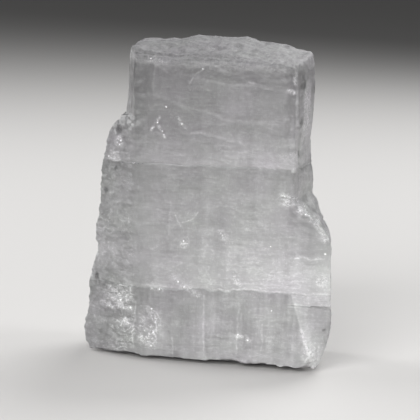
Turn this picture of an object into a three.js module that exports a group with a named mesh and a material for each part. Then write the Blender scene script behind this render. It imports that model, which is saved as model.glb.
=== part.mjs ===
import * as THREE from "three";
import { mergeVertices } from "three/addons/utils/BufferGeometryUtils.js";

// A loose, broken crystal of beryllonite: a blocky prism with a broad flat cleavage face in front, a rough
// domed break on top, a lumpy flank on each side and two partings that run right round it.
// Millimetres. Z is up, the crystal rests on the XY plane and its flat face looks along -Y.
// It is a box of facets bent into shape: rings of facets are stacked from the rim of the base to the break,
// and the two ends are patches inside the first ring and the last.

// ---- Driving sizes ----
const FRONT = -6.25; // the broad cleavage face
const BACK = 5.9; // the face behind it
const COLUMNS = 16; // facets across the front, and across the back
const LINES = 16; // facets from front to back, on each side

// The break on top.
const TOP_EDGE = 29.6; // its front edge
const CORNER = { from: -6, lift: 0.12 }; // left of this x, that edge lifts by this much for each mm
const RIDGE_Y = 2.4; // its crest runs from side to side here
const RIDGE_ROUND = 1.7; // how round it is on the way up to the crest: 1 is a straight slope
const RIDGE_FALL = 0.22; // how far it drops behind the crest, for each mm
const BEND_FROM = 26; // the rings above this height bend up to meet it

// The base.
const RIM = 0.42; // its edges are chipped back to this height
const RIM_CHIPS = { size: 1.6, deep: 0.22, to: 2 }; // chips along them, which fade out at the height "to"
const CHIP = 3.0; // under the front face the base rises from flat over this distance
const REST_INSET = 0.08; // elsewhere the flat starts this share of the way in from the rim

// The cleavage cracks.
const PARTINGS = [19.58, 7.47]; // these go right round
const FLANK_PARTING = 6.42; // this one is in the right flank only
const FLANK_X = 8.9; // that flank starts here
const PARTING_SLOPE = 0.023; // they climb this much for each mm to the right
const PARTING_REACH = 2.5; // the facets this near a crack slope with it
const FLANK_DEPTH = 3; // and the crack fades out this far back
const GROOVE = { half: 0.08, depth: 0.06 }; // the fine V each one leaves at the surface

// How the broken faces are rough: sizes in mm, and the share or height of each kind of unevenness.
const BROAD = { wide: 2.3, tall: 1.9, share: 0.65 }; // lumps
const BLOCKS = { wide: 0.9, tall: 0.7, share: 0.45, levels: 2.5 }; // small blocks with steps between them
const EDGE_FADE = 3; // both fade out over the last third of a face, so that its edges stay in place
const RIDGES = { pitch: 1.7, high: 0.13, wander: 0.25, wide: 2, deep: 3 }; // ridges across the top
const HACKLES = { wide: 1.4, deep: 0.8, high: 0.16 }; // lumps on the top
const SLICE = { blocks: 40, ridges: 9, hackles: 3, chips: 21 }; // each has its own slice of the lattice

// The crest of the break, from left to right: [x, height].
const CREST = [
  [-9.4, 30.8],
  [-9.0, 31.0],
  [-8.4, 31.08],
  [-7.6, 31.08],
  [-5.2, 31.1],
  [-4.3, 31.3],
  [-3.7, 31.7],
  [-2.6, 31.62],
  [0.6, 31.72],
  [2.0, 31.6],
  [2.9, 31.35],
  [4.6, 31.25],
  [5.9, 31.0],
  [6.4, 30.75],
  [8.4, 30.4],
];

// The eight edges that run up the crystal, anticlockwise from the front left as seen from above. Each is a
// line of [height, x, y] from the rim to the top. Of the face that follows it, "steps" is how many facets
// lie across, "rough" is how far in mm its lumps stand in and out, and "plates" are thin slabs that have
// split off: above "from", over the first "share" of its width, it lies "deep" mm further in.
const EDGES = [
  {
    name: "front left",
    steps: COLUMNS,
    rough: 0.02,
    line: [
      [0.42, -6.8, -6.05],
      [1.4, -6.8, FRONT],
      [7.5, -6.7, FRONT],
      [19.4, -7.4, FRONT],
      [29.6, -8.1, FRONT],
    ],
  },
  {
    name: "front right",
    steps: 4,
    rough: 0.05,
    line: [
      [0.42, 9.9, -6.05],
      [1.2, 10.6, FRONT],
      [2.2, 10.6, FRONT],
      [6.7, 8.8, FRONT],
      [7.5, 8.3, FRONT],
      [15.6, 7.6, FRONT],
      [19.5, 7.3, FRONT],
      [29.6, 7.2, FRONT],
    ],
  },
  {
    name: "right front",
    steps: 6,
    rough: 0.22,
    line: [
      [0.42, 11.0, -5.5],
      [1.2, 11.5, -5.1],
      [2.4, 12.05, -5.0],
      [3.8, 12.35, -5.0],
      [5.2, 12.42, -5.1],
      [6.3, 12.38, -5.4],
      [6.6, 12.4, -5.9],
      [7.5, 12.4, -6.1],
      [8.7, 12.25, -6.2],
      [11.7, 12.15, -6.2],
      [12.9, 12.05, -6.2],
      [13.6, 11.85, -6.2],
      [14.3, 11.35, -6.15],
      [15.0, 10.5, -6.1],
      [15.7, 9.5, -6.05],
      [16.3, 8.7, -6.0],
      [16.8, 8.25, -5.95],
      [24.0, 8.1, -5.85],
      [29.6, 7.9, -5.7],
    ],
  },
  {
    name: "right middle",
    steps: 6,
    rough: 0.3,
    line: [
      [0.42, 10.8, 0.4],
      [1.8, 11.2, 0.5],
      [4.0, 11.4, 0.5],
      [7.0, 11.3, 0.5],
      [10.0, 11.2, 0.5],
      [12.0, 11.35, 0.5],
      [12.6, 11.2, 0.5],
      [13.4, 10.9, 0.5],
      [14.2, 10.55, 0.5],
      [14.6, 10.15, 0.5],
      [16.2, 9.75, 0.5],
      [16.8, 9.2, 0.5],
      [18.7, 9.14, 0.5],
      [19.4, 8.87, 0.5],
      [22.2, 8.6, 0.5],
      [24.0, 8.8, 0.5],
      [27.8, 8.85, 0.5],
      [29.6, 8.5, 0.5],
    ],
  },
  {
    name: "back right",
    steps: COLUMNS,
    rough: 0.1,
    plates: [
      { share: 0.69, from: 12.1, deep: 0.4 },
      { share: 0.32, from: 20.6, deep: 0.5 },
    ],
    line: [
      [0.42, 9.4, 5.4],
      [2.0, 9.9, 5.8],
      [7.4, 9.8, BACK],
      [12.3, 9.2, BACK],
      [12.9, 8.6, BACK],
      [16.0, 7.9, BACK],
      [29.6, 7.4, BACK],
    ],
  },
  {
    name: "back left",
    steps: 5,
    rough: 0.2,
    line: [
      [0.42, -9.6, 5.3],
      [2.0, -10.1, 5.7],
      [7.5, -9.9, BACK],
      [13.8, -9.3, BACK],
      [14.4, -8.8, BACK],
      [23.2, -8.4, BACK],
      [29.6, -8.1, BACK],
    ],
  },
  {
    name: "left middle",
    steps: 6,
    rough: 0.32,
    line: [
      [0.42, -11.3, 2.4],
      [2.5, -12.0, 2.4],
      [4.5, -11.6, 2.5],
      [9.0, -11.7, 2.6],
      [10.4, -11.2, 2.6],
      [14.0, -11.2, 2.6],
      [20.5, -10.7, 2.5],
      [22.8, -10.0, 2.3],
      [23.4, -9.4, 2.2],
      [29.6, -9.1, 2.0],
    ],
  },
  {
    name: "left front",
    steps: 5,
    rough: 0.26,
    line: [
      [0.42, -11.6, -4.4],
      [1.0, -12.15, -4.5],
      [2.7, -12.3, -4.5],
      [3.5, -12.2, -4.5],
      [4.0, -11.9, -4.5],
      [7.4, -11.92, -4.5],
      [8.7, -11.8, -4.5],
      [10.1, -11.1, -4.5],
      [11.0, -11.3, -4.5],
      [11.8, -11.57, -4.5],
      [12.9, -11.5, -4.5],
      [13.6, -11.25, -4.5],
      [16.2, -11.12, -4.5],
      [19.4, -11.08, -4.5],
      [20.2, -10.87, -4.5],
      [22.0, -10.6, -4.5],
      [23.0, -10.05, -4.5],
      [23.4, -9.65, -4.5],
      [23.9, -9.4, -4.5],
      [24.0, -8.95, -4.5],
      [25.9, -8.75, -4.6],
      [29.6, -8.8, -4.7],
    ],
  },
];

// Heights of the rings of facets, close together where a ledge or a crack needs them.
const RINGS = [
  RIM, 1.15, 1.8, 2.5, 3.2, 3.9, 4.7, 5.5, 6.1, 7.05, 8.1, 8.8, 9.5, 10.2, 10.9, 11.6, 12.3, 12.9, 13.6,
  14.3, 15.0, 15.7, 16.3, 16.8, 17.5, 18.2, 18.9, 20.2, 20.9, 21.6, 22.3, 23.0, 23.5, 23.86, 24.02, 24.7,
  25.5, 26.3, 27.1, 27.9, 28.7, TOP_EDGE,
];

// ---- Helpers ----
const mix = (a, b, t) => a + (b - a) * t;
const smooth = (t) => t * t * (3 - 2 * t);

// The value of a line of rows at a key, straight between its rows: row[0] is the key.
function along(rows, key) {
  const last = rows.length - 1;
  if (key <= rows[0][0]) return rows[0].slice(1);
  if (key >= rows[last][0]) return rows[last].slice(1);
  const i = rows.findIndex((row) => row[0] > key);
  const [a, b] = [rows[i - 1], rows[i]];
  return a.slice(1).map((v, n) => mix(v, b[n + 1], (key - a[0]) / (b[0] - a[0])));
}

// A steady random number from 0 to 1 for each cell of a lattice.
function cell(i, j, k) {
  const s = Math.sin(i * 127.1 + j * 311.7 + k * 74.7) * 43758.5453;
  return s - Math.floor(s);
}

// Lumps from -1 to 1: random values at lattice corners, blended between them.
function lumps(x, y, z) {
  const [i, j, k] = [x, y, z].map(Math.floor);
  const [u, v, w] = [smooth(x - i), smooth(y - j), smooth(z - k)];
  const side = (n) =>
    mix(
      mix(cell(i, j, k + n), cell(i + 1, j, k + n), u),
      mix(cell(i, j + 1, k + n), cell(i + 1, j + 1, k + n), u),
      v,
    );
  return mix(side(0), side(1), w) * 2 - 1;
}

// The broken flanks: broad lumps, and smaller blocks with steps between them.
function brokenness(x, y, z) {
  const broad = lumps(x / BROAD.wide, y / BROAD.wide, z / BROAD.tall);
  const small = lumps(x / BLOCKS.wide, y / BLOCKS.wide, z / BLOCKS.tall + SLICE.blocks);
  return BROAD.share * broad + (BLOCKS.share * Math.round(small * BLOCKS.levels)) / BLOCKS.levels;
}

// The height of the break on top: it climbs from the front edge to the crest and dips behind it.
function crest(x, y) {
  const [ridge] = along(CREST, x);
  if (y > RIDGE_Y) return ridge - RIDGE_FALL * (y - RIDGE_Y);
  const edge = TOP_EDGE + CORNER.lift * Math.max(0, CORNER.from - x);
  const t = (y - FRONT) / (RIDGE_Y - FRONT);
  return mix(edge, ridge, 1 - (1 - t) ** RIDGE_ROUND);
}

// Hackle on the break: low ridges from side to side, with lumps.
function hackle(x, y) {
  const wander = RIDGES.wander * lumps(x / RIDGES.wide, y / RIDGES.deep, SLICE.ridges);
  const ridge = Math.abs((((y + wander) / RIDGES.pitch) % 1) * 2) - 1;
  return RIDGES.high * ridge + HACKLES.high * lumps(x / HACKLES.wide, y / HACKLES.deep, SLICE.hackles);
}

// The height of the base: it comes down from the rim to the flat that the crystal rests on.
const base = (x, y) => RIM * Math.max(0, 1 - (y - FRONT) / CHIP);

// ---- The rings ----
// One ring of the crystal as [x, y] points, pressed in by "groove" where a crack reaches the surface.
function ring(z, groove = () => 0) {
  const points = [];
  EDGES.forEach((edge, i) => {
    const a = along(edge.line, z);
    const b = along(EDGES[(i + 1) % EDGES.length].line, z);
    const length = Math.hypot(b[0] - a[0], b[1] - a[1]);
    const out = [(b[1] - a[1]) / length, (a[0] - b[0]) / length];
    for (let s = 0; s < edge.steps; s++) {
      const t = s / edge.steps;
      const [x, y] = [mix(a[0], b[0], t), mix(a[1], b[1], t)];
      const fade = Math.min(1, EDGE_FADE * t, EDGE_FADE * (1 - t));
      const split = (edge.plates ?? [])
        .filter((plate) => t < plate.share && z > plate.from)
        .reduce((sum, plate) => sum + plate.deep, 0);
      const push = edge.rough * fade * brokenness(x, y, z) - split - groove(x, y);
      points.push([x + out[0] * push, y + out[1] * push]);
    }
  });
  return points;
}

// Rings near the top bend up to meet the break, rings near the rim follow its chips, and rings near a
// crack slope with it.
function height(z, x, y) {
  if (z > BEND_FROM) {
    return mix(z, z + crest(x, y) - TOP_EDGE, (z - BEND_FROM) / (TOP_EDGE - BEND_FROM));
  }
  if (z < RIM_CHIPS.to) {
    const chips = RIM_CHIPS.deep * lumps(x / RIM_CHIPS.size, y / RIM_CHIPS.size, SLICE.chips);
    return z + (chips * (RIM_CHIPS.to - z)) / (RIM_CHIPS.to - RIM);
  }
  const near = PARTINGS.map((parting) => Math.max(0, 1 - Math.abs(z - parting) / PARTING_REACH));
  return z + PARTING_SLOPE * x * Math.max(...near);
}

// A crack is three rings close together, with the middle one pressed in where "where" says so.
function crack(z, where) {
  const pressed = (x, y) => (where(x, y) ? GROOVE.depth : 0);
  return [-1, 0, 1].map((step) => {
    const at = z + step * GROOVE.half;
    return { z: at, points: ring(at, step === 0 ? pressed : undefined) };
  });
}

const rings = [
  ...RINGS.map((z) => ({ z, points: ring(z) })),
  ...PARTINGS.flatMap((z) => crack(z, () => true)),
  ...crack(FLANK_PARTING, (x, y) => x > FLANK_X && y < FLANK_DEPTH),
].sort((a, b) => a.z - b.z);

// Every ring as [x, y, z] points.
const skin = rings.map(({ z, points }) => points.map(([x, y]) => [x, y, height(z, x, y)]));

// ---- The skin as a box of facets ----
// The point of a ring at a column (left to right) and a line (front to back) of its outside.
function onRing(points, column, line) {
  if (line === 0) return points[column];
  if (column === COLUMNS) return points[COLUMNS + line];
  if (line === LINES) return points[2 * COLUMNS + LINES - column];
  return points[(2 * (COLUMNS + LINES) - line) % points.length];
}

// A point inside a ring, u of the way across and v of the way back, blended from the ring's four sides.
function inside(points, column, line, u, v) {
  const front = onRing(points, column, 0);
  const back = onRing(points, column, LINES);
  const left = onRing(points, 0, line);
  const right = onRing(points, COLUMNS, line);
  const corner = (c, l) => onRing(points, c, l);
  return [0, 1].map(
    (axis) =>
      mix(left[axis], right[axis], u) +
      mix(front[axis], back[axis], v) -
      mix(
        mix(corner(0, 0)[axis], corner(COLUMNS, 0)[axis], u),
        mix(corner(0, LINES)[axis], corner(COLUMNS, LINES)[axis], u),
        v,
      ),
  );
}

// Where the skin lies for a column, a line and a ring of the box.
function skinPoint(column, line, k) {
  const points = skin[k];
  const outside = column === 0 || column === COLUMNS || line === 0 || line === LINES;
  if (outside) return onRing(points, column, line);
  if (k > 0) {
    const [x, y] = inside(points, column, line, column / COLUMNS, line / LINES);
    return [x, y, crest(x, y) + hackle(x, y)];
  }
  const inset = (i, count) => mix(REST_INSET, 1 - REST_INSET, (i - 1) / (count - 2));
  const [x, y] = inside(points, column, line, inset(column, COLUMNS), inset(line, LINES));
  return [x, y, base(x, y)];
}

function crystalGeometry() {
  const last = skin.length - 1;
  const box = new THREE.BoxGeometry(1, 1, 1, COLUMNS, LINES, last);
  box.deleteAttribute("normal");
  box.deleteAttribute("uv");
  const geometry = mergeVertices(box);
  const position = geometry.getAttribute("position");
  const step = (value, count) => Math.round((value + 0.5) * count);
  for (let i = 0; i < position.count; i++) {
    const [x, y, z] = [position.getX(i), position.getY(i), position.getZ(i)];
    position.setXYZ(i, ...skinPoint(step(x, COLUMNS), step(y, LINES), step(z, last)));
  }
  geometry.computeBoundingBox();
  const middle = geometry.boundingBox.getCenter(new THREE.Vector3());
  geometry.translate(-middle.x, -middle.y, 0); // it stands centred on the origin
  geometry.computeVertexNormals();
  return geometry;
}

// ---- The crystal ----
const milkyClear = new THREE.MeshStandardMaterial({
  color: 0xd8d8da,
  roughness: 0.25,
  metalness: 0,
  transparent: true,
  opacity: 0.9,
  flatShading: true,
});

const crystal = new THREE.Mesh(crystalGeometry(), milkyClear);
crystal.name = "beryllonite_crystal";

const group = new THREE.Group();
group.add(crystal);
export default group;
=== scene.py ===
"""A milky, translucent crystal of beryllonite standing on a pale floor."""

import math
from types import SimpleNamespace

import bpy
from mathutils import Matrix, Vector


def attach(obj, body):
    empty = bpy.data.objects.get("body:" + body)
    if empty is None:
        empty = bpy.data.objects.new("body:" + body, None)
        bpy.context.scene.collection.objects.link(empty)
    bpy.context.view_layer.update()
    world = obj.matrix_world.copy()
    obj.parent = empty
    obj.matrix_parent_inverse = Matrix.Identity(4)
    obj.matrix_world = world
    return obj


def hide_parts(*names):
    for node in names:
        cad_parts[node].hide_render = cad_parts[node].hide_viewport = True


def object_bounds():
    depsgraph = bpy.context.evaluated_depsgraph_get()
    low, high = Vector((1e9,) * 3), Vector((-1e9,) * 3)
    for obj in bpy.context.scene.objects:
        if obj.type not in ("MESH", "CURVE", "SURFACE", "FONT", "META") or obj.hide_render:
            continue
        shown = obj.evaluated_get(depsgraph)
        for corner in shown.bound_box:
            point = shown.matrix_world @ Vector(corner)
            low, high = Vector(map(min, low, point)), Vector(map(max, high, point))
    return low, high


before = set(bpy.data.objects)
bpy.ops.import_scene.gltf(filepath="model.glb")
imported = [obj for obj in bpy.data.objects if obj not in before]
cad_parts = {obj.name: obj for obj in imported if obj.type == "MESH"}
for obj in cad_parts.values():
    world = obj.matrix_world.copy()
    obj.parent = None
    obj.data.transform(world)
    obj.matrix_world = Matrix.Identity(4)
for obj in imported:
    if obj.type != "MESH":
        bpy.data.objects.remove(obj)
CAD_LOW, CAD_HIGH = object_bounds()

MM = 0.001

# ---- Places on the crystal, in millimetres in the frame's axes ----
FRONT_Y = CAD_LOW.y / MM  # the broad cleavage face
TOP_EDGE_Z = 29.6  # the break on top starts here
PARTING_UPPER_Z = 19.58  # the parting cracks, where they cross the middle of the front
PARTING_LOWER_Z = 7.47
PARTING_FLANK_Z = 6.42
PARTING_FLANK_X = 8.6  # the third parting is only to the right of this
GROOVE_HALF = 0.08  # half the width of the fine groove that each parting leaves
PARTING_SLOPE = 0.023  # the partings climb this much for each millimetre to the right
SIDE_CLIMB = 0.09  # and on the right side this much for each millimetre to the back
LEFT_EDGE_X = -7.2  # the front face ends here, and the left flank starts
RIGHT_EDGE_X = 8.4  # the right flank starts here
SHOULDER_Z = 16.4  # the top of the broken shoulder on the right

# ---- The mesh ----
MERGE_DISTANCE = 0.002  # corners closer than this many millimetres are one corner
SHARP_ANGLE = 20  # degrees: an edge that turns more than this looks sharp


# ---- Shaping tools ----
def only(piece):
    """Makes one object the selected and active one."""
    bpy.ops.object.select_all(action="DESELECT")
    piece.select_set(True)
    bpy.context.view_layer.objects.active = piece


def edit_mesh(piece, *steps):
    """Runs edit-mode operators on the whole of a piece."""
    only(piece)
    bpy.ops.object.mode_set(mode="EDIT")
    bpy.ops.mesh.select_all(action="SELECT")
    for step in steps:
        step()
    bpy.ops.object.mode_set(mode="OBJECT")


def ramp(value, low, high):
    """0 below low and 1 above high, with a smooth way up between them."""
    t = min(1.0, max(0.0, (value - low) / (high - low)))
    return t * t * (3 - 2 * t)


def paint_group(piece, name, weight):
    """Makes a vertex group from weight(place in mm, normal), for the modifiers that roughen one face."""
    group = piece.vertex_groups.new(name=name)
    for vertex in piece.data.vertices:
        amount = weight(vertex.co / MM, vertex.normal)
        if amount > 0.01:
            group.add([vertex.index], min(1.0, amount), "REPLACE")


def roughen(piece, group, texture, size, height, middle=0.5, direction="NORMAL"):
    """Moves a group of vertices in and out by a texture whose grains are size (x, y, z) mm."""
    bpy.ops.object.empty_add()
    stretch = bpy.context.object
    stretch.scale = Vector(size) * MM
    bpy.context.view_layer.update()
    only(piece)
    bpy.ops.object.modifier_add(type="DISPLACE")
    displace = piece.modifiers[-1]
    displace.texture = texture
    displace.texture_coords = "OBJECT"
    displace.texture_coords_object = stretch
    displace.vertex_group = group
    displace.strength = height * MM
    displace.mid_level = middle
    displace.direction = direction
    bpy.ops.object.modifier_apply(modifier=displace.name)
    bpy.data.objects.remove(stretch)


def soften(piece, group, times):
    """Rounds a group of vertices, more with each time."""
    only(piece)
    bpy.ops.object.modifier_add(type="SMOOTH")
    smooth = piece.modifiers[-1]
    smooth.vertex_group = group
    smooth.iterations = times
    bpy.ops.object.modifier_apply(modifier=smooth.name)


def swell(piece, group, height, direction="NORMAL"):
    """Moves a group of vertices straight out, or up."""
    only(piece)
    bpy.ops.object.modifier_add(type="DISPLACE")
    displace = piece.modifiers[-1]
    displace.vertex_group = group
    displace.strength = height * MM
    displace.mid_level = 0
    displace.direction = direction
    bpy.ops.object.modifier_apply(modifier=displace.name)


def clouds(name, basis="BLENDER_ORIGINAL", depth=0):
    """A texture of random bumps of size 1, with finer ones on them for each step of depth."""
    texture = bpy.data.textures.new(name, "CLOUDS")
    texture.noise_scale = 1.0
    texture.noise_depth = depth
    texture.noise_basis = basis
    return texture


# ---- Levels and areas of the crystal ----
def groove_level(place):
    """The height above the base, measured along the slope of the partings."""
    return place.z - PARTING_SLOPE * place.x


def slab_level(place):
    """The level that the colours follow. The slabs climb towards the back on the right side."""
    depth = max(0, place.y - FRONT_Y - 0.3)
    return groove_level(place) - SIDE_CLIMB * depth * ramp(place.x, 7.2, 8.6) * ramp(place.z, 12, 17)


# Each area gives 0 to 1 for a place in millimetres and the surface's normal there.
def left_break(place, normal):
    """The lumpy flank on the left, from the base up to its ledge."""
    return ramp(-normal.x, 0.12, 0.3) * (1 - 0.7 * ramp(place.z, 23.4, 24.6))


def right_side(place, normal):
    """The side face on the right, above the shoulder."""
    return ramp(normal.x, 0.3, 0.7) * ramp(place.z, 15.5, 17.5)


def right_break(place, normal):
    """The broken shoulder on the right, and the flank's own side under it."""
    shoulder = ramp(place.x, 7.6, 8.6) * ramp(place.z, 11.8, 13.2)
    shoulder *= 1 - ramp(place.z, SHOULDER_Z, SHOULDER_Z + 1.0)
    flank = ramp(normal.x, 0.3, 0.7) * (1 - ramp(place.z, 15.0, 16.5))
    flatness = ramp(-normal.y, 0.6, 0.9)
    return max(shoulder * (1 - 0.75 * flatness) * (1 - ramp(normal.y, 0.4, 0.8)), flank)


def top_break(place, normal):
    """The crumbly dome on top."""
    return ramp(place.z, 29.3, 29.9) * ramp(normal.z, 0.2, 0.6)


def back_face(place, normal):
    """The split plates at the back."""
    return ramp(normal.y, 0.4, 0.8) * ramp(place.z, 1.0, 2.0)


def back_ledges(place, normal):
    """The narrow ledges where the back face steps out, and their edges."""
    height = ramp(place.z, 1.5, 2.5) * (1 - ramp(place.z, 28.0, 29.0))
    return ramp(place.y, 2.0, 3.0) * ramp(normal.z, 0.1, 0.4) * height


def rim(place, normal):
    """The chipped edge round the base, but not the flat that the crystal rests on."""
    return (1 - ramp(place.z, 0.9, 1.9)) * ramp(place.z, 0.05, 0.3)


def top_edge(place, normal):
    """The worn front edge of the break on top."""
    away = math.hypot(place.y - FRONT_Y, place.z - TOP_EDGE_Z)
    return 1 - ramp(away, 0.7, 1.9)


def top_left_corner(place, normal):
    """The near corner on the left, which stands a little higher."""
    return ramp(place.z, 28.4, 29.6) * ramp(-place.x, 7.2, 8.3) * (1 - ramp(place.y, -3.5, -1.0))


def top_right_corner(place, normal):
    """The far corner on the right, which stays sharp."""
    return ramp(place.z, 28.2, 29.6) * ramp(place.x, 7.2, 8.4) * ramp(place.y, -2.0, 1.0)


def front_right_edge(place, normal):
    """The dulled edge between the front face and the right side, above the shoulder."""
    near = ramp(place.x, 6.5, 7.0) * (1 - ramp(place.y, -5.6, -5.0))
    return near * ramp(place.z, 16.0, 17.0)


def sharp_edges(place, normal):
    """The long edges of the front face, which are nicked."""
    left = 1 - ramp(abs(place.x - LEFT_EDGE_X), 0.2, 0.7)
    right = 1 - ramp(abs(place.x - RIGHT_EDGE_X), 0.2, 0.7)
    return max(left, right) * (1 - ramp(place.y, FRONT_Y + 0.3, FRONT_Y + 1.0))


def upper_parting(place, normal):
    """A band along the upper parting."""
    return 1 - ramp(abs(groove_level(place) - PARTING_UPPER_Z), 0.1, 0.9)


def lower_parting(place, normal):
    """A band along the lower parting, and on the right flank one along the third parting too."""
    flank = 1 - ramp(abs(place.z - PARTING_FLANK_Z), 0.1, 0.6)
    front = 1 - ramp(abs(groove_level(place) - PARTING_LOWER_Z), 0.1, 0.9)
    return max(flank * ramp(place.x, PARTING_FLANK_X, PARTING_FLANK_X + 0.6), front)


def grooves(place, normal):
    """The fine grooves of the partings, deepest in the middle."""
    heights = [groove_level(place) - PARTING_UPPER_Z, groove_level(place) - PARTING_LOWER_Z]
    if place.x > PARTING_FLANK_X:
        heights.append(groove_level(place) - PARTING_FLANK_Z)
    return max(0, 1 - min(abs(height) for height in heights) / GROOVE_HALF)


AREAS = [left_break, right_side, right_break, top_break, back_face, back_ledges, rim, top_edge]
AREAS += [top_left_corner, top_right_corner, front_right_edge, sharp_edges]
AREAS += [upper_parting, lower_parting, grooves]


# ---- The crystal ----
def copy_solid():
    """The solid's own shape, merged and cut into fine triangles, with its areas marked."""
    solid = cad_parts["beryllonite_crystal"]
    crystal = bpy.data.objects.new("crystal", solid.data.copy())
    bpy.context.scene.collection.objects.link(crystal)
    edit_mesh(
        crystal,
        lambda: bpy.ops.mesh.remove_doubles(threshold=MERGE_DISTANCE * MM),
        lambda: bpy.ops.mesh.subdivide(number_cuts=1),
        lambda: bpy.ops.mesh.subdivide(number_cuts=1),
    )
    levels = crystal.data.attributes.new("slab_level", "FLOAT", "POINT")
    for vertex, level in zip(crystal.data.vertices, levels.data):
        level.value = slab_level(vertex.co / MM)
    for area in AREAS:
        paint_group(crystal, area.__name__, area)
    return crystal


def make_crystal():
    """The solid with its broken faces roughened, by coarse grains first and then by finer ones."""
    crystal = copy_solid()
    blocks = clouds("cleavage_blocks", basis="CELL_NOISE")
    lumps = clouds("lumps", depth=1)
    grit = clouds("grit", depth=3)
    shells = clouds("shells", basis="VORONOI_F1")
    # The partings are healed almost flush, and wander up and down a little on their way across.
    swell(crystal, "grooves", 0.06)
    roughen(crystal, "upper_parting", lumps, (2.4, 2.4, 60), 0.25, direction="Z")
    roughen(crystal, "lower_parting", grit, (2.2, 2.2, 60), 0.5, direction="Z")
    roughen(crystal, "lower_parting", blocks, (2.6, 2.6, 60), 0.2, direction="Z")
    roughen(crystal, "left_break", lumps, (1.2, 1.2, 0.9), 0.2)
    roughen(crystal, "left_break", blocks, (0.9, 0.9, 0.55), 0.1)
    roughen(crystal, "left_break", grit, (0.7, 0.7, 0.45), 0.24)
    roughen(crystal, "left_break", grit, (0.35, 0.35, 0.3), 0.16)
    roughen(crystal, "right_side", blocks, (9, 0.55, 3.5), 0.06)
    roughen(crystal, "right_side", grit, (0.7, 0.5, 1.5), 0.1)
    roughen(crystal, "right_side", grit, (0.35, 0.35, 0.4), 0.16)
    soften(crystal, "right_break", 6)
    roughen(crystal, "right_break", blocks, (2.1, 1.7, 0.9), 0.14)
    roughen(crystal, "right_break", blocks, (0.8, 0.8, 0.5), 0.06)
    roughen(crystal, "right_break", grit, (0.6, 0.6, 0.45), 0.14)
    roughen(crystal, "right_break", grit, (0.35, 0.35, 0.3), 0.1)
    soften(crystal, "top_break", 8)
    roughen(crystal, "top_break", grit, (0.8, 0.8, 0.8), 0.28, middle=0.4)
    roughen(crystal, "back_face", blocks, (2.4, 9, 1.6), 0.08)
    soften(crystal, "back_ledges", 6)
    roughen(crystal, "back_ledges", blocks, (1.1, 0.7, 9), 0.12)
    roughen(crystal, "back_ledges", grit, (0.5, 0.5, 0.4), 0.14)
    roughen(crystal, "rim", shells, (2.4, 2.4, 60), 0.5, middle=0.15, direction="Z")
    roughen(crystal, "rim", blocks, (0.9, 9, 60), 0.16, direction="Z")
    roughen(crystal, "rim", grit, (0.6, 0.6, 60), 0.2, direction="Z")
    roughen(crystal, "rim", grit, (0.7, 0.7, 0.5), 0.14, middle=0.7)
    soften(crystal, "top_edge", 18)
    roughen(crystal, "top_edge", grit, (0.6, 0.6, 0.6), 0.14, middle=0.3)
    roughen(crystal, "top_break", blocks, (0.55, 0.55, 0.4), 0.1)
    roughen(crystal, "top_break", grit, (0.4, 0.4, 0.35), 0.3)
    swell(crystal, "top_left_corner", 0.16, direction="Z")
    swell(crystal, "top_right_corner", 0.3, direction="Z")
    soften(crystal, "front_right_edge", 14)
    roughen(crystal, "front_right_edge", grit, (0.6, 0.6, 1.2), 0.12)
    soften(crystal, "sharp_edges", 3)
    roughen(crystal, "sharp_edges", grit, (0.6, 0.6, 0.9), 0.18, middle=0.8)
    only(crystal)
    bpy.ops.object.shade_smooth_by_angle(angle=math.radians(SHARP_ANGLE))
    return crystal


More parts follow.
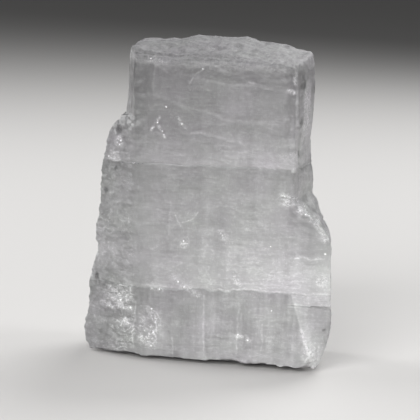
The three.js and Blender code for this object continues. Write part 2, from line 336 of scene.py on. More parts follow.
# ---- Wiring materials ----
class Wiring:
    """Adds nodes to a material one at a time. Each call gives back a socket, which the next ones take in.

    It is called w below, to keep the formulas short.
    """

    def __init__(self, material):
        material.use_nodes = True
        self.nodes = material.node_tree.nodes
        self.links = material.node_tree.links
        self.shader = self.nodes["Principled BSDF"]

    def feed(self, socket, value):
        """Joins a socket to another node's output, or sets it to a number or colour."""
        if isinstance(value, bpy.types.NodeSocket):
            self.links.new(value, socket)
        else:
            socket.default_value = value

    def add(self, kind, *values, output=0, **settings):
        """Adds a node of a kind, with its settings and the values of its first inputs."""
        node = self.nodes.new("ShaderNode" + kind)
        for name, setting in settings.items():
            setattr(node, name, setting)
        for number, value in enumerate(values):
            if value is not None:
                self.feed(node.inputs[number], value)
        return node.outputs[output]

    def math(self, operation, *values):
        """One step of arithmetic."""
        return self.add("Math", *values, operation=operation)

    def plus(self, *values):
        total = values[0]
        for value in values[1:]:
            total = self.math("ADD", total, value)
        return total

    def times(self, *values):
        total = values[0]
        for value in values[1:]:
            total = self.math("MULTIPLY", total, value)
        return total

    def most(self, *values):
        total = values[0]
        for value in values[1:]:
            total = self.math("MAXIMUM", total, value)
        return total

    def swing(self, noise, *strengths):
        """A noise that swings around 0 in place of 0.5, times the strengths."""
        return self.times(self.plus(noise, -0.5), *strengths)

    def shade(self, grey, where, change):
        """The grey made lighter, or darker for a change below 0, where the mask is 1."""
        return self.times(grey, self.plus(1.0, self.times(where, change)))

    def less(self, value, share):
        """The value with a share of it taken away."""
        return self.times(value, self.math("SUBTRACT", 1.0, share))

    def blend(self, share, first, second):
        """The first where the share is 0 and the second where it is 1."""
        return self.add("Mix", share, None, first, second)

    def between(self, value, low, high, start=0.0, end=1.0):
        """start below low and end above high, with a smooth way between them."""
        return self.add("MapRange", value, low, high, start, end, interpolation_type="SMOOTHSTEP")

    def near(self, value, middle, width):
        """1 where the value is at the middle, and 0 from width away."""
        away = self.math("ABSOLUTE", self.math("SUBTRACT", value, middle))
        return self.between(away, 0.0, width, 1.0, 0.0)

    def inside(self, value, low, high, soft):
        """1 between low and high, with soft ends."""
        rise = self.between(value, low - soft, low + soft)
        fall = self.between(value, high - soft, high + soft, 1.0, 0.0)
        return self.times(rise, fall)

    def vector(self, operation, *values, output=0):
        """One step of arithmetic on vectors."""
        return self.add("VectorMath", *values, operation=operation, output=output)

    def split(self, vector):
        """The x, y and z of a vector."""
        node = self.nodes.new("ShaderNodeSeparateXYZ")
        self.feed(node.inputs[0], vector)
        return node.outputs

    def stretched(self, place, size, shift=(0, 0, 0), lean=0.0):
        """The place measured in grains of size (x, y, z) mm that lean down to the right by some degrees."""
        turn = (0, math.radians(lean), 0)
        return self.add("Mapping", place, shift, turn, size, vector_type="TEXTURE")

    def noise(self, place, size, detail=2.0, rough=0.5, shift=(0, 0, 0), lean=0.0):
        """Smooth random grey from 0 to 1, around 0.5."""
        return self.add("TexNoise", self.stretched(place, size, shift, lean), None, 1.0, detail, rough)

    def cells(self, place, size, metric="EUCLIDEAN", output=0, shift=(0, 0, 0)):
        """The distance from the middle of a random cell, or its own random colour as the output "Color"."""
        cell = self.stretched(place, size, shift)
        return self.add("TexVoronoi", cell, output=output, distance=metric)

    def tones(self, value, stops):
        """Grey for a value, along straight stretches between (value, grey) stops."""
        low, high = stops[0][0], stops[-1][0]
        share = self.add("MapRange", value, low, high, 0.0, 1.0, clamp=False)
        node = self.nodes.new("ShaderNodeValToRGB")
        elements = node.color_ramp.elements
        while len(elements) < len(stops):
            elements.new(0.5)
        for element, (at, grey) in zip(elements, stops):
            element.position = (at - low) / (high - low)
            element.color = (grey, grey, grey, 1)
        self.feed(node.inputs[0], share)
        return node.outputs[0]

    def stroke(self, place, start, end, width):
        """1 along the segment from start to end, fading to 0 at width from it."""
        along = Vector(end) - Vector(start)
        away = self.vector("SUBTRACT", place, start)
        share = self.vector("DOT_PRODUCT", away, along / along.length_squared, output="Value")
        share = self.math("MINIMUM", self.math("MAXIMUM", share, 0.0), 1.0)
        foot = self.add("VectorMath", along, None, None, share, operation="SCALE")
        distance = self.vector("LENGTH", self.vector("SUBTRACT", away, foot), output="Value")
        return self.between(distance, 0.0, width, 1.0, 0.0)

    def strokes(self, place, lines):
        """The strongest of several lines, each a (width, brightness, points)."""
        strongest = 0.0
        for width, brightness, line in lines:
            line_here = 0.0
            for start, end in zip(line, line[1:]):
                line_here = self.most(line_here, self.stroke(place, start, end, width))
            strongest = self.most(strongest, self.times(line_here, brightness))
        return strongest

    def patch(self, place, middle, reach):
        """1 at a middle, fading to 0 at reach (x, y, z) mm from it."""
        away = self.stretched(self.vector("SUBTRACT", place, middle), reach)
        return self.between(self.vector("LENGTH", away, output="Value"), 0.3, 1.0, 1.0, 0.0)

    def patches(self, place, spots):
        """The strongest of several patches, each a (strength, middle, reach)."""
        strongest = 0.0
        for strength, middle, reach in spots:
            strongest = self.most(strongest, self.times(self.patch(place, middle, reach), strength))
        return strongest

    def dots(self, place, spots):
        """1 at each (middle, size), fading to 0 at its size."""
        strongest = 0.0
        for middle, size in spots:
            distance = self.vector("DISTANCE", place, middle, output="Value")
            strongest = self.most(strongest, self.between(distance, 0.3 * size, size, 1.0, 0.0))
        return strongest


# ---- The crystal's material ----
# Each slab between two partings is painted brighter downwards, a painted glow of the light that the parting
# under it turns back, and the next one starts darker, in painted shade: (height, grey).
SLAB_GREYS_AND_GLOW = [
    (0.0, 0.46), (4.0, 0.43), (6.4, 0.41), (7.42, 0.38), (7.50, 0.49), (9.5, 0.48), (12.5, 0.43),
    (16.0, 0.39), (19.5, 0.33), (19.6, 0.41), (21.5, 0.36), (24.5, 0.30), (29.3, 0.25), (30.0, 0.25),
    (32.0, 0.25),
]

# Pale lines, as (width, brightness, points): healed cracks, which are wide and dim, the edges of small
# steps, and scratches, which are fine and bright.
Y = FRONT_Y  # the points with this Y are on the front face
LINES = [
    (0.35, 0.35, [(-6.5, Y, 26.3), (-5.0, Y, 25.9), (-3.7, Y, 25.5), (-2.3, Y, 24.9)]),
    (0.3, 0.4, [(-1.9, Y, 25.0), (-0.3, Y, 24.7), (1.2, Y, 24.2), (3.5, Y, 24.1), (6.0, Y, 24.0)]),
    (0.25, 0.4, [(-3.0, Y, 28.3), (-1.2, Y, 27.9), (1.2, Y, 27.5), (3.6, Y, 27.6), (5.6, Y, 27.4)]),
    (0.22, 0.4, [(-5.8, Y, 29.0), (-4.8, Y, 28.4), (-3.9, Y, 28.1)]),
    (0.2, 0.3, [(-1.6, Y, 27.4), (-0.4, Y, 26.8), (0.4, Y, 26.5)]),
    (0.25, 0.5, [(-2.1, Y, 22.7), (-0.8, Y, 22.7), (0.6, Y, 22.4), (2.9, Y, 22.0)]),
    (0.2, 0.45, [(-6.5, Y, 22.3), (-5.6, Y, 22.5), (-4.9, Y, 22.3)]),
    (0.14, 0.5, [(-7.0, Y, 7.55), (-4.7, Y, 7.5), (-2.6, Y, 7.4)]),
    (0.18, 0.4, [(-6.0, Y, 29.2), (-6.05, Y, 26.4)]),
    (0.18, 0.35, [(-3.8, Y, 15.9), (-3.85, Y, 12.6)]),
    (0.13, 0.8, [(-2.5, Y, 27.4), (-1.9, Y, 28.3), (-1.2, Y, 28.9)]),
    (0.14, 0.7, [(3.2, Y, 27.95), (4.2, Y, 27.75), (4.9, Y, 27.6)]),
    (0.13, 1.3, [(-3.2, Y, 14.6), (-3.05, Y, 14.1), (-2.7, Y, 13.5)]),
    (0.13, 1.0, [(-2.5, Y, 13.9), (-1.6, Y, 14.3), (-1.1, Y, 15.1)]),
    (0.15, 1.2, [(8.6, Y, 11.2), (9.4, Y, 11.4), (10.1, Y, 11.2), (11.4, Y, 11.4)]),
    (0.14, 0.9, [(-10.1, -4.8, 20.2), (-8.4, -5.5, 20.3)]),
    (0.14, 1.0, [(-10.0, -4.9, 19.4), (-9.2, -5.3, 19.5)]),
    (0.16, 0.6, [(-10.6, -4.7, 5.6), (-9.3, -5.2, 5.8)]),
    (0.16, 0.6, [(-7.5, -5.9, 7.0), (-7.4, -5.9, 6.0)]),
    (0.14, 0.9, [(-6.8, Y, 5.7), (-6.9, Y, 4.0), (-7.1, -6.0, 2.6), (-6.9, Y, 1.0)]),
    (0.13, 0.9, [(-6.3, Y, 5.4), (-5.6, Y, 5.45), (-5.1, Y, 5.1), (-4.7, Y, 4.7), (-4.3, Y, 4.1)]),
    (0.13, 0.8, [(-4.9, Y, 4.2), (-4.6, Y, 3.2), (-5.0, Y, 2.8), (-4.6, Y, 2.2), (-5.2, Y, 1.5)]),
    (0.12, 0.7, [(-6.4, Y, 4.6), (-5.8, Y, 4.1), (-5.9, Y, 3.4), (-5.3, Y, 3.0), (-5.5, Y, 2.2)]),
    (0.12, 0.7, [(-6.7, Y, 3.3), (-6.2, Y, 3.0), (-6.0, Y, 2.3), (-6.3, Y, 1.5)]),
    (0.13, 0.8, [(-9.2, -5.4, 2.9), (-8.6, -5.5, 2.4), (-7.9, -5.7, 2.3), (-7.3, -5.9, 2.7)]),
    (0.12, 0.7, [(-8.6, -5.5, 3.9), (-8.0, -5.6, 3.2), (-7.5, -5.8, 3.5)]),
    (0.16, 0.8, [(-3.0, Y, 2.5), (-2.95, Y, 0.8)]),
    (0.15, 0.55, [(-0.1, Y, 6.9), (0.1, Y, 1.0)]),
    (0.18, 0.35, [(1.1, Y, 5.2), (1.1, Y, 3.2)]),
    (0.15, 0.6, [(3.4, Y, 6.4), (3.35, Y, 0.9)]),
    (0.16, 0.4, [(3.7, Y, 5.4), (3.7, Y, 3.1)]),
    (0.16, 0.6, [(5.8, Y, 4.6), (5.85, Y, 2.0)]),
    (0.25, 0.6, [(7.9, -5.6, 27.0), (8.1, -5.4, 24.0)]),
    (0.25, 1.0, [(8.0, -5.9, 19.7), (8.3, -5.6, 19.4)]),
]
# Rows of sugary grains on the flat faces, written in the same way.
DUST = [
    (0.26, 0.8, [(-5.3, Y, 24.0), (-5.6, Y, 23.5), (-6.1, Y, 22.7)]),
    (0.26, 0.8, [(-5.3, Y, 23.2), (-4.7, Y, 22.1)]),
    (0.26, 0.6, [(-3.5, Y, 24.1), (-2.7, Y, 23.1)]),
    (0.5, 1.0, [(7.0, Y, 17.2), (8.3, Y, 16.8), (9.2, Y, 16.1), (10.2, Y, 15.5), (11.2, Y, 14.7)]),
    (0.5, 0.9, [(9.9, Y, 15.2), (10.9, Y, 14.2), (11.4, Y, 13.2)]),
    (0.35, 0.8, [(-5.2, Y, 7.2), (-4.3, Y, 7.1)]),
    (0.4, 1.0, [(-10.4, -4.9, 5.3), (-9.4, -5.3, 4.9), (-8.2, -5.5, 5.1), (-7.3, -5.8, 5.0)]),
    (0.4, 0.9, [(-9.8, -5.0, 6.9), (-8.7, -5.4, 6.2), (-8.5, -5.4, 5.6)]),
    (0.3, 0.8, [(-7.5, -5.9, 7.0), (-7.3, -5.9, 6.2)]),
    (0.45, 0.5, [(-5.6, Y, 5.2), (-4.9, Y, 4.6), (-4.4, Y, 3.7), (-5.0, Y, 2.6), (-4.8, Y, 1.6)]),
    (0.5, 0.5, [(-6.3, Y, 2.4), (-5.6, Y, 1.7), (-4.9, Y, 1.3)]),
    (0.6, 0.5, [(-3.2, Y, 8.4), (-2.4, Y, 7.8), (-1.4, Y, 7.3), (-0.7, Y, 6.9)]),
    (0.5, 0.6, [(-6.4, Y, 29.6), (-5.0, Y, 29.3)]),
    (0.4, 0.7, [(3.4, Y, 3.2), (4.6, Y, 2.8)]),
    (0.5, 0.6, [(1.2, Y, 13.4), (1.5, Y, 12.7)]),
    (0.45, 0.6, [(2.8, Y, 8.9), (3.3, Y, 8.3)]),
    (0.5, 0.25, [(5.2, Y, 4.6), (6.6, Y, 2.6)]),
    (0.4, 0.8, [(7.7, -5.9, 28.9), (7.75, -5.8, 28.0)]),
    (0.4, 0.8, [(7.1, -6.0, 27.3), (7.6, -5.9, 27.1)]),
    (0.4, 0.7, [(9.6, Y, 4.2), (10.1, Y, 2.8), (10.5, Y, 1.2)]),
]
# Tiny flaws, painted as bright glints of light, as (middle, size).
SPARKLES = [
    ((-4.7, Y, 25.0), 0.11), ((-5.5, Y, 23.5), 0.08), ((-6.0, Y, 22.9), 0.08), ((-3.05, Y, 23.5), 0.09),
    ((-4.95, Y, 22.7), 0.10), ((-4.7, Y, 22.3), 0.08), ((-1.3, Y, 28.9), 0.09), ((-6.5, Y, 29.6), 0.09),
    ((-4.6, Y, 7.1), 0.10), ((-2.4, Y, 12.1), 0.11), ((-2.7, Y, 8.1), 0.10), ((-2.1, Y, 7.6), 0.09),
    ((4.4, Y, 2.8), 0.11), ((6.6, Y, 5.9), 0.09), ((3.4, Y, 3.3), 0.09), ((6.2, Y, 12.2), 0.08),
    ((-5.1, Y, 1.5), 0.12), ((-5.2, Y, 5.2), 0.09), ((-9.2, -5.2, 21.4), 0.13), ((-9.3, -5.2, 21.0), 0.09),
    ((-10.5, -4.6, 19.7), 0.09), ((-8.7, -5.4, 6.3), 0.09), ((-8.5, -5.5, 5.7), 0.13),
    ((-7.4, -5.8, 5.1), 0.13), ((9.4, -5.9, 15.6), 0.12), ((9.7, -5.9, 15.4), 0.09),
    ((11.5, -6.0, 11.9), 0.10), ((10.9, -6.1, 9.1), 0.09), ((8.25, -5.6, 19.5), 0.11),
    ((10.6, -6.0, 2.2), 0.15), ((10.3, -6.0, 2.6), 0.11), ((10.7, -5.8, 1.3), 0.11),
]
# Small hollows, painted dark as the shade in them: (depth of painted shade, middle, reach).
SHADED_HOLLOWS = [
    (0.55, (-9.5, -4.8, 22.7), (0.7, 2, 0.9)),
    (0.35, (-9.5, -5.2, 18.7), (0.3, 1, 0.35)),
    (0.5, (-10.6, -4.6, 16.4), (0.35, 1, 0.5)),
    (0.5, (-11.2, -4.5, 7.7), (0.3, 1, 0.5)),
    (0.2, (-9.2, -5.1, 7.2), (0.5, 1, 0.3)),
    (0.2, (-7.4, -5.9, 3.9), (0.6, 1, 0.5)),
    (0.5, (8.2, -3.7, 27.9), (2, 1.3, 1.0)),
    (0.45, (8.2, -4.0, 24.2), (2, 0.9, 0.5)),
    (0.3, (8.6, 0.6, 27.1), (2, 1.6, 0.9)),
    (0.3, (8.6, 1.6, 25.6), (2, 1.2, 1.4)),
    (0.4, (8.2, -4.4, 20.9), (2, 0.4, 1.3)),
    (0.3, (11.7, -5.4, 4.3), (0.3, 1, 0.3)),
]
# Where the surface is crushed to white sugary grains: (strength, middle, reach).
SUGARY = [
    (1.0, (7.9, Y, 16.7), (1.5, 3, 0.8)),
    (1.0, (9.4, -5.0, 15.9), (1.5, 4, 0.9)),
    (1.0, (10.7, -5.0, 15.1), (1.5, 4, 1.0)),
    (1.0, (11.7, -5.0, 14.0), (1.0, 4, 1.3)),
    (0.9, (-9.4, -5, 21.3), (0.7, 3, 0.8)),
    (0.8, (-9.9, -5, 19.8), (1.1, 3, 0.6)),
    (0.35, (-5.4, Y, 3.4), (1.6, 2, 3.2)),
    (0.35, (-7.9, -5.8, 2.8), (2.4, 3, 2.2)),
    (0.5, (-8.6, -5.5, 6.2), (2.6, 3, 1.6)),
    (0.8, (10.4, Y, 2.0), (0.9, 2, 1.4)),
    (0.9, (-2.3, Y, 12.0), (0.7, 1, 0.8)),
    (0.7, (11.3, Y, 9.2), (1.1, 3, 1.0)),
    (0.6, (8.3, -5.4, 27.6), (0.5, 1, 1.8)),
    (0.8, (8.6, -2.0, 25.0), (3, 2.6, 4.5)),
]
# Where the surface is broken in curved ripples: (strength, middle, reach).
RIPPLED = [
    (1.0, (-7.9, -5.8, 3.2), (2.4, 3, 2.4)),
    (1.0, (-5.5, Y, 3.2), (1.7, 2, 3.0)),
    (0.8, (-8.8, -5.4, 1.2), (2.4, 3, 1.4)),
    (0.6, (-8.6, -5.4, 6.0), (2.6, 3, 1.8)),
    (0.6, (-10.8, -4.6, 13.2), (1.6, 3, 1.4)),
]
# Broad areas painted lighter or darker than their slab, partly tone of the crystal and partly painted light
# and shade, such as the glow along the base, the lit foot of the upper slab on the right and painted shade on
# the shoulder that faces up: (change, middle, reach).
SHADES = [
    (-0.06, (-4.4, Y, 23.4), (3.4, 4, 2.2)),
    (-0.05, (-4.5, Y, 24.5), (5.0, 4, 6.0)),
    (-0.1, (-9.4, -5.0, 8.8), (3.2, 5, 2.2)),
    (-0.12, (-6.3, Y, 8.7), (2.6, 4, 1.8)),
    (-0.06, (-5.4, Y, 6.2), (3.6, 4, 1.7)),
    (-0.08, (11.0, -5.0, 10.5), (2.6, 5, 4.5)),
    (-0.07, (10.4, -5.0, 12.4), (3.6, 5, 3.6)),
    (-0.19, (9.9, -5.0, 15.0), (2.8, 6, 2.4)),
    (-0.05, (7.2, Y, 3.6), (3.0, 4, 3.6)),
    (-0.06, (5.5, Y, 12.2), (3.5, 4, 2.2)),
    (-0.06, (-8.4, -5.4, 11.0), (2.0, 4, 4.0)),
    (-0.14, (-8.3, -5.4, 3.6), (2.2, 4, 2.4)),
    (-0.08, (-6.4, Y, 4.0), (2.6, 4, 3.4)),
    (-0.04, (-2.6, Y, 4.6), (2.2, 4, 4.0)),
    (0.07, (1.8, Y, 6.5), (5.5, 4, 1.4)),
    (0.08, (-9.5, -5.0, 17.0), (2.6, 5, 2.8)),
    (0.07, (7.0, Y, 20.2), (4.0, 4, 1.3)),
    (-0.05, (7.2, Y, 22.4), (1.6, 4, 1.6)),
    (0.08, (9.0, -1.0, 24.5), (2.0, 6, 7.0)),
    (0.05, (1.0, Y, 26.0), (3.5, 4, 3.0)),
    (0.06, (2.0, Y, 0.9), (9.5, 4, 1.3)),
]
WINDOW_EDGE_X = -6.0  # left of this and above WINDOW_BASE the upper slab is clearer
WINDOW_BASE = 26.4
LOW_SLAB_TOP = (7.4, 7.5)  # the lowest slab's patterns give way to the middle one's across these levels
UPPER_SLAB_BASE = (19.5, 19.6)  # and the middle slab's patterns to the upper one's
FLANK_PARTING = (6.35, 6.45)  # the level of the third parting, where the flank's colour changes
LEFT_LEAN_Z = 7.5  # above this the front face's left edge leans outwards
LEFT_LEAN = 0.062  # by this much for each millimetre
SLANT_X = 10.95  # where the slanting edge in the lowest slab would meet the floor
SLANT = 0.33  # and how far it leans to the left for each millimetre up
SHALLOW = 0.25  # a dot or a line reaches 1 / SHALLOW times as deep into the crystal as across its face
FLATTEN = Vector((1, SHALLOW, 1))
LIP_LEVEL = 7.6  # LIP_LEVEL = 7.6 # a pale lip runs along the top of the lower parting, a painted glow of light gathered at the foot of the slab above
REFRACTIVE_INDEX = 1.55
MILKY_DEPTH = 0.35  # how far light spreads under the surface, in millimetres
RELIEF_HEIGHT = 0.08  # the height of the finest grooves and grains, in millimetres


def find_places(w):
    """The places and directions that all the patterns share, in millimetres."""
    at = SimpleNamespace()
    at.real = w.vector("MULTIPLY", w.add("TexCoord", output="Object"), (1 / MM,) * 3)
    at.x, at.y, at.z = w.split(at.real)
    level = w.add("Attribute", output="Fac", attribute_name="slab_level")
    # Patterns lie along the partings, so they use the level, made a little ragged, in place of the height.
    ragged = w.noise(at.real, (0.8, 0.8, 60), 3, 0.7, shift=(5, 5, 5))
    at.level = w.plus(level, w.swing(ragged, 0.4))
    at.place = w.add("CombineXYZ", at.x, at.y, at.level)
    at.facing_right, at.facing_back, _ = w.split(w.add("TexCoord", output="Normal"))
    return at


def find_areas(w, at):
    """Where the broken faces and the slabs are: 1 inside each of them and 0 outside."""
    at.mottle = w.noise(at.place, (0.9, 0.9, 0.7), 2, 0.6, shift=(8, 8, 2))
    lean = w.times(w.math("MAXIMUM", w.plus(at.z, -LEFT_LEAN_Z), 0.0), -LEFT_LEAN)
    left_edge = w.plus(LEFT_EDGE_X, lean)
    left = w.between(w.math("SUBTRACT", at.x, left_edge), -0.25, 0.2, 1.0, 0.0)
    at.right = w.between(at.facing_right, 0.35, 0.7)
    at.top = w.between(w.plus(at.z, w.times(at.mottle, 1.6)), TOP_EDGE_Z - 0.1, TOP_EDGE_Z + 0.9)
    at.broken = w.most(left, w.times(at.right, 0.8), at.top)
    at.low_slab = w.between(at.level, *LOW_SLAB_TOP, 1.0, 0.0)
    at.upper_slab = w.between(at.level, *UPPER_SLAB_BASE)


def flank_painted_light(w, at):
    """How much lighter the flank is painted right of the slanting edge in the lowest slab, a painted light on
    the facet that turns towards the right: (where, change).
    """
    slant = w.plus(at.x, w.times(at.z, SLANT), -SLANT_X)
    beside = w.times(w.between(slant, -0.08, 0.08), w.between(at.level, 7.35, 7.45, 1.0, 0.0))
    above = w.between(at.level, *FLANK_PARTING)
    close = w.between(slant, 0.2, 2.2, 0.24, -0.02)
    return beside, w.blend(above, close, 0.26)


def whole_faces(w, at):
    """How bright the crystal is over whole faces, before its finer patterns, with painted light and shade in
    it: the slabs' glow, the lit flank and broad patches.
    """
    # painted glow: each slab lighter towards the parting under it, darker just above it
    grey = w.tones(at.level, SLAB_GREYS_AND_GLOW)
    grey = w.times(grey, w.plus(0.97, w.times(at.x, 0.013)))
    right_of_step = w.times(w.between(at.x, 1.6, 2.3), w.inside(at.level, 7.5, 12.6, 1.0))
    grey = w.shade(grey, right_of_step, 0.07)
    left_of_window_edge = w.between(at.x, WINDOW_EDGE_X - 0.1, WINDOW_EDGE_X, 1.0, 0.0)
    window = w.times(left_of_window_edge, w.inside(at.level, WINDOW_BASE, 29.3, 0.5))
    grey = w.shade(grey, window, -0.13)
    # The flank is painted brighter, as painted light on a facet that turns to the right, most of all above
    # its own parting.
    grey = w.shade(grey, *flank_painted_light(w, at))
    # The steps on the back are painted darker in patches, a painted shade that breaks up the side light they
    # catch.
    step = w.times(w.inside(at.facing_back, 0.15, 0.85, 0.1), w.between(at.y, 1.6, 2.4))
    step = w.times(step, w.inside(at.x, -6.5, 6.5, 0.5), w.between(at.z, 28.0, 29.0, 1.0, 0.0))
    patchy_step_shade = w.between(w.noise(at.place, (1.1, 1.1, 1.1), 2, shift=(5, 9, 3)), 0.36, 0.6, 0.12, 0.42)
    grey = w.less(grey, w.times(step, patchy_step_shade))
    # The dulled edge on the right is as bright as the front face.
    dulled = w.times(w.inside(at.x, 7.3, 8.1, 0.3), w.inside(at.z, 17.5, 28.6, 0.8))
    grey = w.shade(grey, dulled, 0.1)
    # broad painted light and shade, and broad tone
    for change, middle, reach in SHADES:
        grey = w.shade(grey, w.patch(at.place, middle, reach), change)
    cloudy = w.noise(at.place, (3.6, 3.6, 2.6), 3)
    return w.times(grey, w.plus(0.82, w.times(cloudy, 0.36)))


def winding_wisps(w, at):
    """Thin wisps wind along the partings, in patches, and lean across the upper slab."""
    patchy = w.between(w.noise(at.place, (2.6, 2.6, 1.7), 2, shift=(3, 1, 9)), 0.42, 0.62)
    wisps = w.near(w.noise(at.place, (2.2, 2.2, 0.55), 2, 0.6), 0.5, 0.05)
    loose_wisps = w.near(w.noise(at.place, (1.4, 1.4, 0.4), 1, 0.6, shift=(7, 3, 5)), 0.57, 0.05)
    leaning = w.near(w.noise(at.place, (2.8, 2.8, 0.5), 2, 0.6, shift=(2, 6, 4), lean=10), 0.5, 0.045)
    leaning = w.times(leaning, at.upper_slab)
    level_wisps = w.shade(w.most(wisps, loose_wisps), at.upper_slab, -0.6)
    return w.times(w.most(level_wisps, leaning), w.plus(0.15, w.times(patchy, 0.85)))


def fine_patterns(w, at):
    """Growth bands, traces of cleavage and grains, and how strong each is in each area."""
    fine = SimpleNamespace(wispy=winding_wisps(w, at))
    strength = w.between(w.noise(at.place, (1.9, 1.9, 1.5), 2, shift=(8, 1, 4)), 0.36, 0.64, 0.25, 1.4)
    fine.strength = w.shade(strength, at.top, -0.7)
    fine.bands = w.noise(at.place, (0.9, 0.9, 9.0), 1, 0.6)
    fine.growth = w.noise(at.place, (0.34, 0.34, 5.0), 1, 0.6, shift=(9, 9, 9))
    fine.streaked = w.most(w.times(at.low_slab, 0.9), w.times(at.right, 1.8), w.times(fine.strength, 0.28))
    fine.traces = w.noise(at.place, (2.2, 2.2, 0.24), 2, 0.65, shift=(4, 2, 1))
    fine.grain = w.noise(at.place, (0.26, 0.26, 0.24), 1, 0.6)
    fine.crumbs = w.noise(at.place, (0.5, 0.5, 0.4), 2, 0.7, shift=(1, 7, 1))
    fine.uneven = w.between(w.noise(at.place, (1.0, 1.0, 0.8), 2, shift=(2, 2, 2)), 0.36, 0.56, 0.25, 1.0)
    fine.sugary = w.times(w.patches(at.real, SUGARY), fine.uneven)
    fine.top_crumbs = w.noise(at.place, (0.3, 1.1, 0.4), 2, 0.6, shift=(6, 2, 6))
    fine.crumbly = w.plus(0.12, w.times(at.broken, 0.4), w.times(at.top, 0.1), w.times(fine.sugary, 0.6))
    return fine


def weave_patterns(w, at, fine, grey):
    """The whole faces' grey with the fine patterns in it."""
    texture = w.plus(
        1.0,
        w.times(fine.wispy, w.plus(0.12, w.times(at.upper_slab, 0.06))),
        w.swing(fine.bands, 0.2),
        w.swing(fine.growth, fine.streaked, 0.3),
        w.swing(fine.traces, fine.strength, 0.31),
        w.times(w.between(fine.grain, 0.52, 0.75), w.plus(0.14, w.times(at.broken, 0.14))),
        w.swing(at.mottle, 0.2),
        w.swing(fine.crumbs, fine.crumbly),
        w.swing(fine.top_crumbs, at.top, 0.75),
    )
    return w.times(grey, texture)


def break_up(w, at, fine, grey):
    """Broken faces are small blocks, each with its own brightness."""
    fine.block = w.split(w.cells(at.place, (0.5, 0.5, 0.34), metric="CHEBYCHEV", output="Color"))[0]
    fine.lump = w.noise(at.place, (1.3, 1.3, 1.0), 2, 0.6, shift=(2, 9, 4))
    rough_look = w.plus(1.0, w.swing(fine.block, 0.1), w.swing(fine.lump, 0.2))
    return w.times(grey, w.blend(at.broken, 1.0, rough_look))


def flat(lines):
    """The same lines, with their points moved to the flattened places that marks are measured in."""
    return [(width, bright, [Vector(point) * FLATTEN for point in line]) for width, bright, line in lines]


def pale_lines(w, at):
    """The pale lines and rows of grains, which wobble and break off, and the painted glow of the lip along
    the lower parting.
    """
    marks = SimpleNamespace()
    wobble = w.add("TexNoise", w.stretched(at.place, (0.7, 0.7, 0.7)), None, 1.0, 2.0, output="Color")
    marks.wobble = w.vector("MULTIPLY", w.vector("SUBTRACT", wobble, (0.5,) * 3), (0.4,) * 3)
    marks.flat_place = w.vector("MULTIPLY", w.vector("ADD", at.real, marks.wobble), FLATTEN)
    gaps = w.between(w.noise(at.place, (0.5, 0.5, 0.5), 2), 0.4, 0.6, 0.35, 1.0)
    marks.lines = w.times(w.strokes(marks.flat_place, flat(LINES)), gaps)
    marks.dust = w.strokes(marks.flat_place, flat(DUST))
    marks.lip = w.times(w.near(at.level, LIP_LEVEL, 0.14), gaps, w.between(at.x, -1.5, 2.0, 0.2, 1.0))
    return marks


def crushed_places(w, at, fine, marks):
    """White grains, curls and curved ripples where the surface is crushed."""
    marks.crushed = w.most(fine.sugary, marks.dust)
    grains = w.between(w.noise(at.place, (0.24, 0.24, 0.22), 1, 0.6, shift=(1, 1, 8)), 0.53, 0.75)
    marks.curls = w.near(w.noise(at.place, (1.1, 1.1, 0.7), 3, 0.65, shift=(4, 4, 4)), 0.5, 0.04)
    small_curls = w.near(w.noise(at.place, (0.7, 0.7, 0.5), 2, 0.6, shift=(9, 4, 2)), 0.54, 0.045)
    curly = w.times(w.most(marks.curls, small_curls), 0.7)
    marks.sugar = w.times(w.most(grains, curly), marks.crushed)
    swirl = w.noise(at.place, (1.6, 1.6, 1.0), 3, 0.55, shift=(5, 2, 6))
    ripples = w.between(w.math("PINGPONG", w.times(swirl, 7.0), 0.5), 0.34, 0.49)
    marks.ripples = w.times(ripples, w.patches(at.real, RIPPLED), w.plus(fine.uneven, 0.2))


def sparkling_places(w, at, marks):
    """Painted glints: the marked sparkles, and many tiny ones where the surface is broken or crushed."""
    marks.sparkles = w.dots(marks.flat_place, [(Vector(middle) * FLATTEN, size) for middle, size in SPARKLES])
    marks.tiny = w.between(w.cells(at.place, (0.4, 0.4, 0.4)), 0.12, 0.3, 1.0, 0.0)
    cluster = w.between(w.noise(at.place, (1.8, 1.8, 1.4), 2, shift=(6, 1, 2)), 0.54, 0.68)
    marks.tiny_here = w.most(w.times(cluster, 0.4), w.times(at.broken, cluster, 0.7), marks.crushed)


def add_marks(w, grey, marks):
    """The grey with all its pale marks on it, the painted glints of the sparkles among them."""
    return w.plus(
        grey,
        w.times(marks.lines, 0.2),
        w.times(marks.lip, 0.1),
        w.times(marks.sugar, 0.42),
        w.times(marks.ripples, 0.26),
        w.times(marks.tiny, marks.tiny_here, 0.6),
        w.times(marks.sparkles, 0.7),
    )


def paint_hollow_shade(w, at, marks, grey):
    """Painted shade in the marked hollows, with ragged edges, and in small ones on the broken faces."""
    ragged_place = w.vector("ADD", at.real, w.vector("MULTIPLY", marks.wobble, (1.6,) * 3))
    # painted shade in small hollows on the broken faces
    small = w.between(w.noise(at.place, (0.6, 0.6, 0.5), 2, 0.5, shift=(3, 8, 6)), 0.24, 0.33, 0.14, 0.0)
    eaten = w.between(w.noise(at.real, (0.6, 0.9, 0.6), 2, 0.6, shift=(7, 7, 1)), 0.36, 0.58, 0.3, 1.1)
    hollow_shade = w.most(w.times(w.patches(ragged_place, SHADED_HOLLOWS), eaten), w.times(small, at.broken))
    grey = w.less(grey, hollow_shade)
    return w.math("MINIMUM", w.math("MAXIMUM", grey, 0.03), 0.95)


def tint(w, at, grey):
    """The colour, with a faint blush: violet in some places and green in others."""
    blush = w.swing(w.noise(at.place, (4, 4, 3), 2, shift=(6, 6, 6)), 0.08)
    blush = w.plus(blush, w.times(at.upper_slab, 0.01))
    green = w.times(grey, w.math("SUBTRACT", 0.998, blush))
    blue = w.times(grey, w.plus(1.006, w.times(blush, 0.4)))
    w.feed(w.shader.inputs["Base Color"], w.add("CombineColor", grey, green, blue))


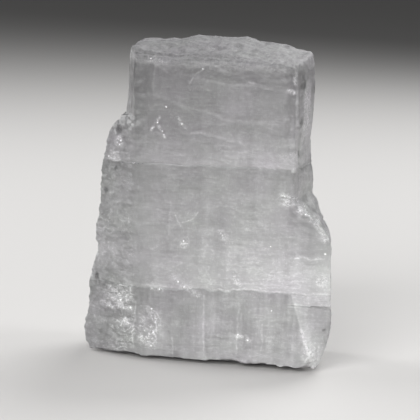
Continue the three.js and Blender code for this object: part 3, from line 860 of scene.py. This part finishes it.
def set_milkiness(w, at, fine, grey):
    """Duller where it is broken, clearer where it is darker, and milky to a small depth."""
    frost = w.times(w.between(fine.grain, 0.5, 0.8), 0.1)
    duller = (w.times(at.broken, 0.05), w.times(at.top, 0.25), w.times(fine.sugary, 0.25))
    w.feed(w.shader.inputs["Roughness"], w.plus(0.3, frost, *duller))
    w.shader.inputs["IOR"].default_value = REFRACTIVE_INDEX
    clearness = w.less(w.between(grey, 0.2, 0.6, 0.5, 0.12), w.times(at.top, 0.6))
    w.feed(w.shader.inputs["Transmission Weight"], clearness)
    w.shader.inputs["Subsurface Weight"].default_value = 0.4
    w.shader.inputs["Subsurface Radius"].default_value = (1, 1, 1)
    w.shader.inputs["Subsurface Scale"].default_value = MILKY_DEPTH * MM


def add_relief(w, at, fine, marks):
    """The finest grooves and grains, too small for the mesh."""
    relief = w.plus(
        w.times(fine.traces, 0.15),
        w.times(fine.growth, fine.streaked, 0.2),
        w.times(fine.grain, 0.1),
        w.times(fine.crumbs, at.broken, 0.4),
        w.times(fine.block, at.broken, 0.2),
        w.times(fine.lump, at.broken, 0.25),
        w.times(marks.curls, at.broken, 0.25),
    )
    bump = w.nodes.new("ShaderNodeBump")
    bump.inputs["Strength"].default_value = 0.5
    bump.inputs["Distance"].default_value = RELIEF_HEIGHT * MM
    w.feed(bump.inputs["Height"], relief)
    w.feed(w.shader.inputs["Normal"], bump.outputs[0])


def crystal_material():
    """One material for the whole crystal, worked out from whole faces down to the finest grain."""
    material = bpy.data.materials.new("milky_crystal")
    w = Wiring(material)
    at = find_places(w)
    find_areas(w, at)
    grey = whole_faces(w, at)
    fine = fine_patterns(w, at)
    grey = weave_patterns(w, at, fine, grey)
    grey = break_up(w, at, fine, grey)
    marks = pale_lines(w, at)
    crushed_places(w, at, fine, marks)
    sparkling_places(w, at, marks)
    grey = add_marks(w, grey, marks)
    grey = paint_hollow_shade(w, at, marks, grey)
    tint(w, at, grey)
    set_milkiness(w, at, fine, grey)
    add_relief(w, at, fine, marks)
    return material


# ---- Stage ----
def make_stage():
    """A pale floor, far wider than the view."""
    bpy.ops.mesh.primitive_plane_add(size=6)
    floor = bpy.context.object
    floor.name = "floor"
    material = bpy.data.materials.new("pale_floor")
    material.use_nodes = True
    shader = material.node_tree.nodes["Principled BSDF"]
    shader.inputs["Base Color"].default_value = (0.62, 0.61, 0.60, 1)
    shader.inputs["Roughness"].default_value = 0.8
    floor.data.materials.append(material)


def soft_light(name, place, aim, size, power):
    """A round lamp at a place, turned to its aim, with its size in metres and its power in watts."""
    bpy.ops.object.light_add(type="AREA")
    light = bpy.context.object
    light.name = name
    light.data.shape = "DISK"
    light.data.size = size
    light.data.energy = power
    light.location = Vector(place)
    light.rotation_euler = (Vector(aim) - Vector(place)).to_track_quat("-Z", "Y").to_euler()


def make_lights():
    """One soft light from each side, and a faint even light all round."""
    centre = (0, 0, 0.016)
    soft_light("front_light", (-0.06, -0.32, 0.16), centre, 0.24, 1.26)
    soft_light("back_light", (0.10, 0.26, 0.30), centre, 0.24, 1.0)
    soft_light("left_light", (-0.26, 0.06, 0.12), centre, 0.2, 0.5)
    soft_light("right_light", (0.26, 0.07, 0.12), centre, 0.2, 0.35)
    world = bpy.data.worlds.new("studio")
    bpy.context.scene.world = world
    world.use_nodes = True
    world.node_tree.nodes["Background"].inputs["Color"].default_value = (1, 1, 1, 1)
    world.node_tree.nodes["Background"].inputs["Strength"].default_value = 0.08
    bpy.context.scene.view_settings.view_transform = "Standard"


# ---- Camera ----
CAMERA_TARGET = Vector((-1.053, 0.413, 14.4)) * MM
CAMERA_AZIMUTH = 10.0  # degrees round to the right of straight in front
CAMERA_ELEVATION = 8.0
CAMERA_ROLL = 2.8
CAMERA_DISTANCE = 0.2
CAMERA_HALF_VIEW = 0.021  # half the frame's width at the target


def make_camera():
    """A long lens, in front and a little above, turned slightly about its own line of sight."""
    around, up = math.radians(CAMERA_AZIMUTH), math.radians(CAMERA_ELEVATION)
    back = Vector((math.sin(around) * math.cos(up), -math.cos(around) * math.cos(up), math.sin(up)))
    bpy.ops.object.camera_add()
    camera = bpy.context.object
    camera.location = CAMERA_TARGET + back * CAMERA_DISTANCE
    turn = (-back).to_track_quat("-Z", "Y").to_matrix()
    roll = Matrix.Rotation(math.radians(CAMERA_ROLL), 3, "Z")
    camera.rotation_euler = (turn @ roll).to_euler()
    camera.data.sensor_width = 36
    camera.data.lens = 18 * CAMERA_DISTANCE / CAMERA_HALF_VIEW
    camera.data.clip_start = 0.01
    bpy.context.scene.camera = camera


crystal = make_crystal()
crystal.data.materials.clear()
crystal.data.materials.append(crystal_material())
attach(crystal, "root")
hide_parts("beryllonite_crystal")
make_stage()
make_lights()
make_camera()
